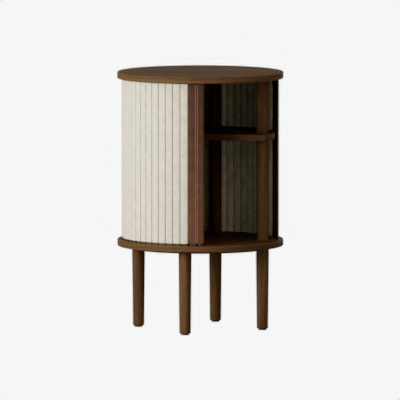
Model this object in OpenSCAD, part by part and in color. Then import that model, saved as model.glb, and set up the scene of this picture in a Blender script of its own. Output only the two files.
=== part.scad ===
// Round bedside table: two round plates on four legs, four posts and a shelf between the
// plates, and a slatted cloth curtain that turns round them in a groove cut in each plate.
// The middle of the floor is the origin, +Z is up, and the front post stands towards -Y.
// Angles on the circle are counted from +X, turning towards +Y.

/* [Plates] */
// Diameter of the round top and base plates
plate_d = 400; // [390:1:440]
// Thickness of the top plate
top_t = 16; // [14:0.5:24]
// Thickness of the base plate
base_t = 16; // [14:0.5:24]
// Rounding of the edges of the plates and the shelf
edge_r = 2.5; // [1:0.25:4]
// How far the plates stand out past the curtain
rim_reach = 11; // [8:0.5:16]
// Thickness of the dark plate under the base plate
under_t = 4; // [3:0.5:6]
// How far the under plate's edge lies inside the rim
under_inset = 20; // [15:1:30]

/* [Heights] */
// Height of the base plate's underside above the floor
leg_h = 202; // [150:1:260]
// Clear height between the plates
bay_h = 388; // [340:1:440]
// Height of the shelf's underside above the base plate
shelf_h = 242; // [120:1:260]

/* [Shelf] */
// Thickness of the shelf
shelf_t = 16; // [12:0.5:22]
// How far the shelf's straight front edge lies in front of the table's middle
shelf_front = 52; // [30:1:80]
// Gap between the shelf's round edge and the curtain
shelf_gap = 2; // [1:0.25:4]

/* [Legs and posts] */
// Distance from the shelf's round edge to the middle of each post and leg
post_inset = 26; // [22:0.5:32]
// Diameter of the posts
post_d = 30; // [26:0.5:34]
// Diameter of a leg at its top
leg_top_d = 31; // [27:0.5:36]
// Diameter of a leg at its foot
leg_foot_d = 27; // [24:0.5:32]
// Rounding round a leg's foot
leg_foot_r = 3; // [1:0.5:5]
// Diameter of the plastic glide under a leg
glide_d = 19; // [14:0.5:22]
// Thickness of the glide below the leg
glide_t = 3; // [2:0.5:5]
// Diameter of the glide's stem inside the leg
glide_stem_d = 8; // [6:0.5:10]
// Length of the glide's stem
glide_stem_l = 14; // [10:1:20]

/* [Curtain] */
// Thickness of the curtain, cloth on both faces included
curtain_t = 7; // [6:0.25:9]
// Number of slats under the cloth
slat_count = 43; // [30:1:50]
// Distance from one slat to the next round the outside
slat_pitch = 19.1; // [17:0.1:21]
// Gap between two slats
slat_gap = 2.7; // [2:0.1:3.5]
// How far the middle of a slat stands proud of its edges
slat_crown = 0.5; // [0.2:0.05:0.6]
// Depth that the cloth is drawn in between two slats
seam_draw = 1.3; // [0.8:0.1:1.5]
// Thickness of the cloth, and of the leather
cloth_t = 1; // [0.6:0.1:1.2]
// Gap between the base plate and the lower hem of the cloth
hem_gap = 4.5; // [2:0.5:8]
// Gap between the top plate and the upper hem of the cloth
head_gap = 1; // [1:0.25:3]
// Gap between the base plate and the lower hem of the lining
lining_gap = 0.5; // [0.5:0.1:2]
// Angle that the curtain's front end stands past the front post
lead_angle = 16.6; // [-60:0.1:60]

/* [Leather ends] */
// Width of the leather on the outside, from the cloth to the curtain's end
leather_w = 39.3; // [34:0.1:50]
// Distance from the cloth to the seam down the leather
leather_seam_w = 20.8; // [16:0.1:26]
// Width of the leather's flap on the inside
leather_flap_w = 55; // [48:0.5:56]
// Length of the rounding of the curtain's end, against half of the curtain's thickness
nose_stretch = 1.6; // [1:0.1:2]
// Width between the two stitched welts along the seam
welt_spacing = 4.8; // [3.6:0.1:6]
// Diameter of a stitched welt
welt_d = 1.4; // [1:0.1:1.8]

/* [Groove and tongues] */
// Thickness of the tongues at the slats' ends
tongue_t = 3.2; // [2.4:0.1:3.4]
// Gap between a tongue and each wall of the groove
groove_gap = 0.6; // [0.4:0.1:1]
// Depth of the groove in each plate
groove_depth = 8; // [6:0.5:10]
// Gap between a lower tongue and the bottom of its groove
tongue_foot_gap = 0.3; // [0.3:0.1:1]
// Gap between an upper tongue and the end of its groove
tongue_head_gap = 1; // [0.5:0.25:2]
// How far a slat's shoulder stands out past each side of its tongue
shoulder_w = 1.5; // [1:0.25:3]

/* [Studs and inserts] */
// Diameter of the threaded studs
stud_d = 8; // [6:1:8]
// Outer diameter of the threaded inserts
insert_d = 12; // [11:0.5:14]
// Length of the inserts in legs and posts
insert_l = 18; // [14:1:22]
// Length of the inserts in the top plate
top_insert_l = 10; // [8:0.5:10.5]
// How deep a stud reaches into a leg or a post
stud_reach = 16; // [12:0.5:18]
// How deep a stud reaches into the top plate
top_stud_reach = 9; // [7:0.5:10]

/* [Fits] */
// Gap round a stud in its insert, and round an insert or a stem in the wood
close_fit = 0.05; // [0.03:0.01:0.1]
// Gap round a stud where it passes a plate or the shelf
passing_fit = 0.25; // [0.1:0.05:0.5]
// Depth that a hole goes on past the insert or the stem in it
hole_spare = 1; // [0.5:0.25:2]
// Glue line between a slat and the cloth or leather on it
glue_line = 0.05; // [0.03:0.01:0.1]

/* [Hidden] */
$fn = 96;

// Heights of the faces
base_z = leg_h;
leg_top_z = base_z - under_t;
bay_z = base_z + base_t;
shelf_z = bay_z + shelf_h;
upper_z = shelf_z + shelf_t;
top_z = bay_z + bay_h;

// Radii, from the rim inwards
plate_r = plate_d / 2;
under_r = plate_r - under_inset;
curtain_r = plate_r - rim_reach;
curtain_in_r = curtain_r - curtain_t;
curtain_mid_r = (curtain_r + curtain_in_r) / 2;
shelf_r = curtain_in_r - shelf_gap;
post_circle_r = shelf_r - post_inset;

// Places of the four posts on the circle
FRONT = -90;
RIGHT = 0;
BACK = 90;
LEFT = 180;
ALL_POSTS = [FRONT, RIGHT, BACK, LEFT];
SHELF_POSTS = [RIGHT, BACK, LEFT];

// Heights of the curtain's cloth and slats
hem_z = bay_z + hem_gap;
lining_z = bay_z + lining_gap;
head_z = top_z - head_gap;
tongue_z0 = bay_z - groove_depth + tongue_foot_gap;
tongue_z1 = top_z + groove_depth - tongue_head_gap;

// Angles round the curtain. The cloth runs from cloth_a0 to cloth_a1.
function arc_angle(length, r) = length / r * 180 / PI;
pitch_a = arc_angle(slat_pitch, curtain_r);
leather_a = arc_angle(leather_w, curtain_r);
cloth_a1 = FRONT + lead_angle - leather_a;
cloth_a0 = cloth_a1 - slat_count * pitch_a;

wood_color = "#5d4029";
top_color = "#624630";
cloth_color = "#d9d3c7";
lining_color = "#bcb5a6";
leather_color = "#67402f";
slat_color = "#4b3626";
under_color = "#1e1813";
steel_color = "#b9bcc0";
brass_color = "#b9975b";
glide_color = "#1c1612";

// ---------------------------------------------------------------- shared shapes

module on_circle(angle) {
    rotate([0, 0, angle])
        translate([post_circle_r, 0, 0])
            children();
}

// Half of a board's section: flat top and bottom, and a rounded outer edge at x = reach
module edge_section(reach, thickness) {
    square([reach - edge_r, thickness]);
    translate([0, edge_r])
        square([reach, thickness - 2 * edge_r]);
    for (y = [edge_r, thickness - edge_r])
        translate([reach - edge_r, y])
            circle(r = edge_r);
}

module round_board(r, thickness) {
    rotate_extrude($fn = 180)
        intersection() {
            edge_section(r, thickness);
            square([r + 1, thickness]);
        }
}

// Hole along +Z, started a little below the face it is drilled from
module hole(d, depth) {
    translate([0, 0, -0.01])
        cylinder(d = d, h = depth + 0.01, $fn = 48);
}

module curtain_groove() {
    half_w = tongue_t / 2 + groove_gap;
    rotate_extrude($fn = 180)
        translate([curtain_mid_r - half_w, 0])
            square([2 * half_w, groove_depth + 0.01]);
}

module insert(length) {
    difference() {
        cylinder(d = insert_d, h = length, $fn = 48);
        translate([0, 0, -0.01])
            cylinder(d = stud_d + 2 * close_fit, h = length + 0.02, $fn = 48);
    }
}

module insert_hole(length) {
    hole(insert_d + 2 * close_fit, length + hole_spare);
}

// ---------------------------------------------------------------- plates and shelf

module top_plate() {
    color(top_color)
        difference() {
            translate([0, 0, top_z])
                round_board(plate_r, top_t);
            translate([0, 0, top_z - 0.01])
                curtain_groove();
            for (angle = ALL_POSTS)
                on_circle(angle)
                    translate([0, 0, top_z])
                        insert_hole(top_insert_l);
        }
}

module base_plate() {
    color(wood_color)
        difference() {
            translate([0, 0, base_z])
                round_board(plate_r, base_t);
            translate([0, 0, bay_z - groove_depth])
                curtain_groove();
            for (angle = ALL_POSTS)
                on_circle(angle)
                    translate([0, 0, base_z])
                        hole(stud_d + 2 * passing_fit, base_t + 1);
        }
}

// Thin dark plate between the base plate and the legs, with a small chamfer at both edges
module under_plate() {
    chamfer = under_t / 8;
    color(under_color)
        difference() {
            translate([0, 0, leg_top_z])
                rotate_extrude($fn = 180)
                    polygon([
                        [0, 0], [under_r - chamfer, 0], [under_r, chamfer],
                        [under_r, under_t - chamfer], [under_r - chamfer, under_t], [0, under_t]]);
            for (angle = ALL_POSTS)
                on_circle(angle)
                    translate([0, 0, leg_top_z])
                        hole(stud_d + 2 * passing_fit, under_t + 1);
        }
}

module shelf() {
    color(wood_color)
        difference() {
            intersection() {
                translate([0, 0, shelf_z])
                    round_board(shelf_r, shelf_t);
                translate([-plate_r, shelf_r, shelf_z])
                    rotate([90, 0, 90])
                        linear_extrude(height = plate_d)
                            mirror([1, 0])
                                edge_section(shelf_r + shelf_front, shelf_t);
            }
            for (angle = SHELF_POSTS)
                on_circle(angle)
                    translate([0, 0, shelf_z])
                        hole(stud_d + 2 * passing_fit, shelf_t + 1);
        }
}

// ---------------------------------------------------------------- legs, glides and posts

module leg(angle) {
    foot_r = leg_foot_d / 2;
    color(wood_color)
        on_circle(angle)
            difference() {
                translate([0, 0, glide_t])
                    rotate_extrude($fn = 72)
                        polygon(concat(
                            [[0, 0]],
                            [for (a = [-90 : 15 : 0])
                                [foot_r - leg_foot_r + leg_foot_r * cos(a), leg_foot_r + leg_foot_r * sin(a)]],
                            [[leg_top_d / 2, leg_top_z - glide_t], [0, leg_top_z - glide_t]]));
                translate([0, 0, glide_t])
                    hole(glide_stem_d + 2 * close_fit, glide_stem_l + hole_spare);
                translate([0, 0, leg_top_z])
                    mirror([0, 0, 1])
                        insert_hole(insert_l);
            }
}

module glide(angle) {
    color(glide_color)
        on_circle(angle) {
            cylinder(d = glide_d, h = glide_t, $fn = 48);
            cylinder(d = glide_stem_d, h = glide_t + glide_stem_l, $fn = 48);
        }
}

module post(angle, z0, z1) {
    color(wood_color)
        on_circle(angle)
            difference() {
                translate([0, 0, z0])
                    cylinder(d = post_d, h = z1 - z0, $fn = 72);
                translate([0, 0, z0])
                    insert_hole(insert_l);
                translate([0, 0, z1])
                    mirror([0, 0, 1])
                        insert_hole(insert_l);
            }
}

// ---------------------------------------------------------------- studs and inserts

module leg_inserts() {
    color(brass_color)
        for (angle = ALL_POSTS)
            on_circle(angle)
                translate([0, 0, leg_top_z - insert_l])
                    insert(insert_l);
}

module post_inserts() {
    color(brass_color) {
        for (angle = ALL_POSTS)
            on_circle(angle)
                for (z = [bay_z, top_z - insert_l])
                    translate([0, 0, z])
                        insert(insert_l);
        for (angle = SHELF_POSTS)
            on_circle(angle)
                for (z = [shelf_z - insert_l, upper_z])
                    translate([0, 0, z])
                        insert(insert_l);
    }
}

module top_plate_inserts() {
    color(brass_color)
        for (angle = ALL_POSTS)
            on_circle(angle)
                translate([0, 0, top_z])
                    insert(top_insert_l);
}

module stud(z0, z1) {
    translate([0, 0, z0])
        cylinder(d = stud_d, h = z1 - z0, $fn = 48);
}

module leg_studs() {
    color(steel_color)
        for (angle = ALL_POSTS)
            on_circle(angle)
                stud(leg_top_z - stud_reach, bay_z + stud_reach);
}

module shelf_studs() {
    color(steel_color)
        for (angle = SHELF_POSTS)
            on_circle(angle)
                stud(shelf_z - stud_reach, upper_z + stud_reach);
}

module top_studs() {
    color(steel_color)
        for (angle = ALL_POSTS)
            on_circle(angle)
                stud(top_z - stud_reach, top_z + top_stud_reach);
}

// ---------------------------------------------------------------- curtain

function on_arc(r, a) = [r * cos(a), r * sin(a)];
function reversed(points) = [for (i = [len(points) - 1 : -1 : 0]) points[i]];

// Stations across one slat, from -1 at one gap's middle to 1 at the next
slat_edge = 1 - slat_gap / slat_pitch;
crown_edge = slat_edge - 0.08;
half_stations = [crown_edge / 2, crown_edge, slat_edge, (slat_edge + 1) / 2];
slat_stations = [-slat_edge, -crown_edge, -crown_edge / 2, 0, crown_edge / 2, crown_edge, slat_edge];
cloth_stations = concat([-1], reversed(-half_stations), [0], half_stations);

// How far the cloth's face lies below its highest line at station s
function face_drop(s) =
    slat_crown * s * s
    + seam_draw * pow(max(0, abs(s) - crown_edge) / (1 - crown_edge), 2);

function slat_angle(i) = cloth_a0 + (i + 0.5) * pitch_a;

// One face of the whole cloth, side = 1 outside or -1 inside, sunk by depth
function cloth_line(r, side, depth) = concat(
    [for (i = [0 : slat_count - 1])
        for (s = cloth_stations)
            on_arc(r - side * (face_drop(s) + depth), slat_angle(i) + s * pitch_a / 2)],
    [on_arc(r - side * (face_drop(1) + depth), cloth_a0 + slat_count * pitch_a)]);

module cloth_sheet(r, side) {
    polygon(concat(
        cloth_line(r, side, 0),
        reversed(cloth_line(r, side, cloth_t))));
}

// Stands a section up from the height z0 to the upper hem
module cloth_height(z0 = hem_z) {
    translate([0, 0, z0])
        linear_extrude(height = head_z - z0)
            children();
}

// Wedge of the plane between two angles less than 90 degrees apart
module wedge(a0, a1) {
    far = 2 * plate_r;
    polygon([[0, 0], on_arc(far, a0), on_arc(far, (a0 + a1) / 2), on_arc(far, a1)]);
}

module ring_2d(r_in, r_out) {
    difference() {
        circle(r = r_out, $fn = 360);
        circle(r = r_in, $fn = 360);
    }
}

// Tongues at both ends of a slat that spans the angles a0 to a1
module tongues(a0, a1) {
    inset = arc_angle(shoulder_w, curtain_mid_r);
    for (z = [[tongue_z0, hem_z], [head_z, tongue_z1]])
        translate([0, 0, z[0]])
            linear_extrude(height = z[1] - z[0])
                intersection() {
                    ring_2d(curtain_mid_r - tongue_t / 2, curtain_mid_r + tongue_t / 2);
                    wedge(a0 + inset, a1 - inset);
                }
}

module slat() {
    skin = cloth_t + glue_line;
    outer = [for (s = slat_stations)
        on_arc(curtain_r - skin - face_drop(s), s * pitch_a / 2)];
    inner = [for (s = slat_stations)
        on_arc(curtain_in_r + skin + face_drop(s), s * pitch_a / 2)];
    cloth_height()
        polygon(concat(outer, reversed(inner)));
    tongues(-slat_edge * pitch_a / 2, slat_edge * pitch_a / 2);
}

module curtain_slats() {
    color(slat_color)
        for (i = [0 : slat_count - 1])
            rotate([0, 0, slat_angle(i)])
                slat();
}

module curtain_cloth() {
    color(cloth_color)
        cloth_height()
            cloth_sheet(curtain_r, 1);
}

// The lining stops short at each end, where the leather's flap takes its place
module curtain_lining() {
    flap_a = arc_angle(leather_flap_w - leather_w, curtain_in_r);
    color(lining_color)
        cloth_height(lining_z)
            difference() {
                cloth_sheet(curtain_in_r, -1);
                wedge(cloth_a0 - 1, cloth_a0 + flap_a);
                wedge(cloth_a1 - flap_a, cloth_a1 + 1);
            }
}

// ---------------------------------------------------------------- leather ends
// Drawn with the cloth's edge on the X axis and the curtain's end at the angle leather_a

leather_seam_a = arc_angle(leather_seam_w, curtain_r);
nose_l = nose_stretch * curtain_t / 2;
nose_a = leather_a - arc_angle(nose_l, curtain_r);

// Width over which the leather comes up again from where it is drawn in beside the cloth
crease_w = (1 - crown_edge) * slat_pitch / 2;
crease_a = arc_angle(crease_w, curtain_r);
function crease_drop(w) = face_drop(1) * pow(max(0, 1 - w / crease_w), 2);

// The curtain's section between a0 and its rounded end, inset all round by depth
module end_section(a0, depth) {
    half_t = curtain_t / 2 - depth;
    intersection() {
        ring_2d(curtain_in_r + depth, curtain_r - depth);
        wedge(a0, nose_a);
    }
    rotate([0, 0, nose_a])
        translate([curtain_mid_r, 0])
            scale([1, (nose_l - depth) / half_t])
                circle(r = half_t, $fn = 48);
}

// The leather's first strip beside the cloth, drawn in as the cloth is
module leather_crease() {
    widths = [for (part = [0 : 0.2 : 1.2]) part * crease_w];
    polygon(concat(
        [for (w = widths) on_arc(curtain_r - crease_drop(w), arc_angle(w, curtain_r))],
        reversed([for (w = widths)
            on_arc(curtain_r - crease_drop(w) - cloth_t, arc_angle(w, curtain_r))])));
}

module leather_end() {
    flap_a = arc_angle(leather_flap_w - leather_w, curtain_in_r);
    cloth_height() {
        difference() {
            union() {
                end_section(crease_a, 0);
                rotate([0, 0, leather_seam_a])
                    for (side = [-1, 1])
                        translate([curtain_r - 0.35 * welt_d, side * welt_spacing / 2])
                            circle(d = welt_d, $fn = 24);
            }
            end_section(-1, cloth_t);
            rotate([0, 0, leather_seam_a])
                translate([curtain_r, 0])
                    circle(d = 1.1 * cloth_t, $fn = 24);
        }
        leather_crease();
        intersection() {
            ring_2d(curtain_in_r, curtain_in_r + cloth_t);
            wedge(-flap_a, crease_a + 0.1);
        }
    }
}

module end_slat_pair() {
    depth = cloth_t + glue_line;
    half_gap_a = arc_angle(slat_gap / 2, curtain_mid_r);
    cloth_height() {
        intersection() {
            ring_2d(curtain_in_r + depth, curtain_r - depth);
            wedge(crease_a, leather_seam_a - half_gap_a);
        }
        end_section(leather_seam_a + half_gap_a, depth);
    }
    tongues(crease_a, leather_seam_a - half_gap_a);
    tongues(leather_seam_a + half_gap_a, nose_a);
}

// Puts a leather end at the curtain's front end, or mirrored at its rear end
module at_front_end() {
    rotate([0, 0, cloth_a1])
        children();
}

module at_rear_end() {
    rotate([0, 0, cloth_a0])
        mirror([0, 1, 0])
            children();
}

module end_slats() {
    color(slat_color) {
        at_front_end()
            end_slat_pair();
        at_rear_end()
            end_slat_pair();
    }
}

module leather_end_front() {
    color(leather_color)
        at_front_end()
            leather_end();
}

module leather_end_rear() {
    color(leather_color)
        at_rear_end()
            leather_end();
}

// ---------------------------------------------------------------- the table

top_plate();
base_plate();
under_plate();
shelf();
leg(FRONT);  // leg_front
leg(RIGHT);  // leg_right
leg(BACK);  // leg_back
leg(LEFT);  // leg_left
glide(FRONT);  // glide_front
glide(RIGHT);  // glide_right
glide(BACK);  // glide_back
glide(LEFT);  // glide_left
post(FRONT, bay_z, top_z);  // post_front
post(RIGHT, bay_z, shelf_z);  // post_right_lower
post(BACK, bay_z, shelf_z);  // post_back_lower
post(LEFT, bay_z, shelf_z);  // post_left_lower
post(RIGHT, upper_z, top_z);  // post_right_upper
post(BACK, upper_z, top_z);  // post_back_upper
post(LEFT, upper_z, top_z);  // post_left_upper
leg_inserts();
post_inserts();
top_plate_inserts();
leg_studs();
shelf_studs();
top_studs();
curtain_slats();
end_slats();
curtain_cloth();
curtain_lining();
leather_end_front();
leather_end_rear();
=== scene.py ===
"""Looks of a round bedside table whose slatted cloth curtain turns between two round plates.

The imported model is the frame. The wood, the slats and the hardware keep their own shapes and
get their finishes here. The cloth, the lining, the leather ends and their stitches are made
here, in metres, where the frame has them. Angles round the table are counted from +X towards +Y.
"""

import math

import bpy
from bpy.props import FloatProperty, FloatVectorProperty, IntProperty, PointerProperty
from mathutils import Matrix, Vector


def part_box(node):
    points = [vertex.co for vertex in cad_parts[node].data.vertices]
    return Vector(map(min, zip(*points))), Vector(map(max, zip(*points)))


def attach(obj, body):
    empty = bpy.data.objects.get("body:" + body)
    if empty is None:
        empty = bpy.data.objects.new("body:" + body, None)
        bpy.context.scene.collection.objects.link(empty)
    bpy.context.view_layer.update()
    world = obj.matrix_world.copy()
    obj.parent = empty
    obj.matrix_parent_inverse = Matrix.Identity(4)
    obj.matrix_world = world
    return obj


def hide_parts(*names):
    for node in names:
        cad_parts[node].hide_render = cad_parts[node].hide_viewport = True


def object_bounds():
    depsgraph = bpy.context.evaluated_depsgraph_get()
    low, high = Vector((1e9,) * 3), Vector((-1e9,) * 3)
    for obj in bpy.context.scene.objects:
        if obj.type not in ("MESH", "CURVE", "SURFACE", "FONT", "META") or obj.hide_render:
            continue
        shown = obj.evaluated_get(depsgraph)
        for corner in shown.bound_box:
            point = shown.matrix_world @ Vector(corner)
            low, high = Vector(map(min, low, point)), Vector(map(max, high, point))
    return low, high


bl_info = {
    "name": "Bedside Table with Tambour Curtain",
    "version": (1, 0, 0),
    "blender": (4, 5, 0),
    "location": "3D View > Sidebar > Bedside Table",
    "description": "Finishes, cloth, leather and studio of a round bedside table",
    "category": "Object",
}

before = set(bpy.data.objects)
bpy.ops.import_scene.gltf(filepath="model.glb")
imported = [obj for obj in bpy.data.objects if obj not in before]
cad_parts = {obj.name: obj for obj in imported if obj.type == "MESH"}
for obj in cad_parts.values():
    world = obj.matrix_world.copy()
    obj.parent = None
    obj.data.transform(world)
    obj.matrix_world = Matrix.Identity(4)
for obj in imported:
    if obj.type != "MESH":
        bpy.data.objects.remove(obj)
cad_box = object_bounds()

FULL_TURN = 2 * math.pi
WHITE = (1.0, 1.0, 1.0)

# Brightness of each board against the others; below 1 it is painted shade, for the shelf and the base
# plate that sit in shade
BOARD_PAINTED_SHADE = {"top_plate": 1.0, "base_plate": 0.97, "shelf": 0.82}
SIDES = ["front", "right", "back", "left"]
LEGS = [f"leg_{side}" for side in SIDES]
GLIDES = [f"glide_{side}" for side in SIDES]
POSTS = ["post_front"] + [f"post_{side}_{part}" for part in ("lower", "upper") for side in SIDES[1:]]
INSERTS = ["leg_inserts", "post_inserts", "top_plate_inserts"]
STUDS = ["leg_studs", "shelf_studs", "top_studs"]
SLATS = ["curtain_slats", "end_slats"]


# ---- Places read from the frame

def least_and_most(node, measure):
    """Range of a measure of x and y over a node's points."""
    found = [measure(v.co.x, v.co.y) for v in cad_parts[node].data.vertices]
    return min(found), max(found)


def radii(node):
    """Nearest and farthest distance of a node's surface from the table's axis."""
    return least_and_most(node, math.hypot)


def angles(node):
    """First and last angle of a node that keeps clear of +X."""
    return least_and_most(node, lambda x, y: math.atan2(y, x) % FULL_TURN)


def heights(node):
    low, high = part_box(node)
    return low.z, high.z


def on_arc(radius, angle):
    return radius * math.cos(angle), radius * math.sin(angle)


# ---- Sizes and colours

def length(name, description, default, low=0.0):
    return FloatProperty(name=name, description=description, default=default, min=low,
                         subtype="DISTANCE", unit="LENGTH", precision=5)


def colour(name, description, default):
    return FloatVectorProperty(name=name, description=description, default=default, size=3,
                               subtype="COLOR", min=0.0, max=1.0)


def share(name, description, default):
    return FloatProperty(name=name, description=description, default=default, subtype="FACTOR",
                         min=0.0, max=1.0)


def power(name, description, default):
    return FloatProperty(name=name, description=description, default=default, min=0.0,
                         unit="POWER")


def tilt(name, description, degrees):
    return FloatProperty(name=name, description=description, default=math.radians(degrees),
                         subtype="ANGLE", unit="ROTATION")


class WoodLook(bpy.types.PropertyGroup):
    light_tone: colour("Light tone", "Stained oak between the dark streaks", (0.122, 0.0690, 0.0325))
    dark_tone: colour("Dark tone", "Stained oak in its dark streaks", (0.073, 0.0385, 0.0182))
    streak_width: length("Streak width", "Width of the broad streaks across the grain", 0.011)
    pore_width: length("Pore width", "Width of the fine dark pores", 0.0011)
    edge_rub: share("Edge rub", "How much lighter the rounded edges are", 0.10)
    roughness: share("Roughness", "Roughness of the lacquer", 0.50)
    shine: share("Shine", "Strength of the lacquer's reflections", 0.07)


class CurtainLook(bpy.types.PropertyGroup):
    slats: IntProperty(name="Slats", description="Slats under the cloth", default=43, min=3)
    crown: length("Crown", "How far a slat's middle stands proud of its edges", 0.0005)
    fold: length("Fold", "Radius of the cloth where it turns in between two slats", 0.0014)
    slit: length("Slit", "Half the width of the slit between two folds", 0.0003)
    draw: length("Draw", "Depth that the cloth is drawn in between two slats", 0.0022)
    lining_crown: length("Lining crown", "How far the lining stands proud over a slat's middle", 0.0015)
    lining_draw: length("Lining draw", "Depth that the lining is drawn in", 0.0014)
    thickness: length("Cloth thickness", "Thickness of the cloth", 0.001)
    relief: length("Relief", "Most that the cloth stands off its slat", 0.00016)
    yarn: length("Yarn", "Distance from one yarn to the next", 0.0008)
    light_yarn: colour("Light yarn", "Colour of the pale yarns", (0.820, 0.757, 0.644))
    dark_yarn: colour("Dark yarn", "Colour of the darker yarns", (0.677, 0.601, 0.494))
    lining_light: colour("Light lining", "Pale yarns of the lining", (0.79, 0.725, 0.52))
    lining_dark: colour("Dark lining", "Darker yarns of the lining", (0.595, 0.54, 0.38))
    # Painted shade: a near-black colour for deep between two slats and for the lining's back, where
    # shade falls
    painted_gap_shade: colour("Glue", "Glued back of the lining, and deep between two slats", (0.075, 0.068, 0.056))


class LeatherLook(bpy.types.PropertyGroup):
    seam: length("Seam", "Distance from the cloth to the seam", 0.0208)
    flap: length("Flap", "Reach of the leather's flap on the inside, from the curtain's end", 0.055)
    welt_spacing: length("Welt spacing", "Width between the two stitched welts", 0.0048)
    welt_height: length("Welt height", "How far a welt stands proud", 0.0005)
    channel: length("Channel", "Depth of the channel between the welts", 0.0003)
    stitch_pitch: length("Stitch pitch", "Distance from one stitch to the next", 0.0042, 0.001)
    stitch_length: length("Stitch length", "Length of one stitch", 0.0036)
    thread: length("Thread", "Thickness of the thread", 0.0010)
    nose_stretch: FloatProperty(name="Nose stretch", default=1.6, min=1.0,
                                description="Length of the end's rounding over half its thickness")
    hide: colour("Leather", "Colour of the leather", (0.0995, 0.048, 0.0255))
    # Painted shade: besides the creases, this colour is painted along the cloth where the cloth's rib
    # shades the leather
    hide_in_creases_and_shade: colour("Dark leather", "Colour of the leather in its creases", (0.0525, 0.0243, 0.0127))
    thread_colour: colour("Thread colour", "Colour of the stitches", (0.36, 0.22, 0.15))


class Studio(bpy.types.PropertyGroup):
    view_angle: tilt("View angle", "Camera's angle to the right of the front", 13.78)
    distance: length("Distance", "Camera's distance from the table's axis", 18.29)
    height: length("Height", "Camera's height above the floor", 1.992)
    side_step: length("Side step", "How far the camera stands to its left of the axis", 0.00092)
    pitch: tilt("Pitch", "How far the camera looks down", 5.252)
    lens: FloatProperty(name="Lens", description="Focal length in millimetres", default=685.35)
    floor_reach: length("Floor reach", "From the table's axis to the floor's edge", 3.0)
    backdrop: share("Backdrop", "Brightness of the floor and the backdrop", 1.0)
    floor_bounce: share("Floor bounce", "Share of the light that the floor throws back", 0.45)
    key_power: power("Key power", "Wall of soft light at the left", 41.5)
    top_power: power("Top power", "Weak soft light overhead", 6.0)
    fill_power: power("Fill power", "Weak soft light at the right front", 7.3)
    back_power: power("Back power", "Weak soft light behind", 1.5)
    ambient: share("Ambient", "Light from everywhere", 0.24)


# Share of the power, degrees right of the camera, degrees up, distance, width and height
LIGHTS = {
    "Key": [(0.2, -74, 10, 2.2, 0.7, 1.0), (0.48, -58, 10, 2.2, 0.7, 1.0),
            (0.27, -34, 10, 2.2, 0.6, 1.0), (0.05, -65, 38, 2.2, 1.6, 0.8)],
    "Top": [(1.0, 0, 85, 1.9, 1.4, 1.4)],
    "Fill": [(0.6, 41, 8, 2.4, 0.8, 1.0), (0.4, 30, 32, 2.4, 1.2, 0.8)],
    "Back": [(1.0, 170, 0, 2.4, 1.6, 0.45)],
}
# Light and the brightness it is shown with: deep shadows and soft highlights
TONES = [(0.0, 0.0), (0.003, 0.0002), (0.006, 0.0014), (0.01, 0.0043), (0.02, 0.015),
         (0.04, 0.04), (0.08, 0.11), (0.11, 0.155), (0.15, 0.187), (0.3, 0.30), (0.46, 0.43),
         (0.65, 0.595), (0.74, 0.65), (0.82, 0.69), (0.87, 0.71), (0.92, 0.73), (1.0, 0.9216)]

PROPERTY_GROUPS = {"table_wood": WoodLook, "table_curtain": CurtainLook,
                   "table_leather": LeatherLook, "table_studio": Studio}


# ---- Node trees

def open_output(node):
    """The output that the node's settings leave open."""
    return next(s for s in node.outputs if s.enabled)


class Nodes:
    """Adds nodes to one tree and links them."""

    def __init__(self, tree):
        self.tree = tree
        tree.nodes.clear()

    def feed(self, socket, value):
        if isinstance(value, bpy.types.NodeSocket):
            self.tree.links.new(value, socket)
        else:
            socket.default_value = value

    def add(self, kind, *values, named=None, **settings):
        """A node with its settings made, its inputs fed in order and then by name."""
        node = self.tree.nodes.new(kind)
        for name, value in settings.items():
            setattr(node, name, value)
        open_inputs = [s for s in node.inputs if s.enabled]
        for socket, value in zip(open_inputs, values):
            if value is not None:
                self.feed(socket, value)
        for name, value in (named or {}).items():
            self.feed(next(s for s in open_inputs if s.name == name), value)
        return node

    def math(self, operation, *values):
        return self.add("ShaderNodeMath", *values, operation=operation).outputs[0]

    def times(self, first, *others):
        for other in others:
            first = self.math("MULTIPLY", first, other)
        return first

    def plus(self, a, b):
        return self.math("ADD", a, b)

    def minus(self, a, b):
        return self.math("SUBTRACT", a, b)

    def over(self, a, b):
        return self.math("DIVIDE", a, b)

    def within(self, value, low, high):
        return self.math("MINIMUM", self.math("MAXIMUM", value, low), high)

    def vector(self, operation, *values):
        return open_output(self.add("ShaderNodeVectorMath", *values, operation=operation))

    def tint(self, tone, brightness):
        """A colour made lighter or darker."""
        return self.vector("SCALE", tone, brightness)

    def combine(self, x=0.0, y=0.0, z=0.0):
        return self.add("ShaderNodeCombineXYZ", x, y, z).outputs[0]

    def separate(self, vector):
        return self.add("ShaderNodeSeparateXYZ", vector).outputs

    def ramp(self, value, start, stop):
        """0 before start and 1 past stop, with a smooth change between."""
        return self.add("ShaderNodeMapRange", interpolation_type="SMOOTHSTEP",
                        named={"Value": value, "From Min": start, "From Max": stop}).outputs[0]

    def span(self, value, low, high):
        """A value from 0 to 1 stretched to run from low to high."""
        return self.add("ShaderNodeMapRange",
                        named={"Value": value, "To Min": low, "To Max": high}).outputs[0]

    def noise(self, vector, scale=1.0, detail=2.0, roughness=0.5):
        return self.add("ShaderNodeTexNoise",
                        named={"Vector": vector, "Scale": scale, "Detail": detail,
                               "Roughness": roughness}).outputs[0]

    def mix(self, share_of_b, a, b, kind="RGBA"):
        return open_output(self.add("ShaderNodeMix", share_of_b, a, b, data_type=kind))


SOCKETS = {float: "NodeSocketFloat", int: "NodeSocketInt", "vector": "NodeSocketVector",
           "colour": "NodeSocketColor", "geometry": "NodeSocketGeometry",
           "material": "NodeSocketMaterial"}


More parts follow.
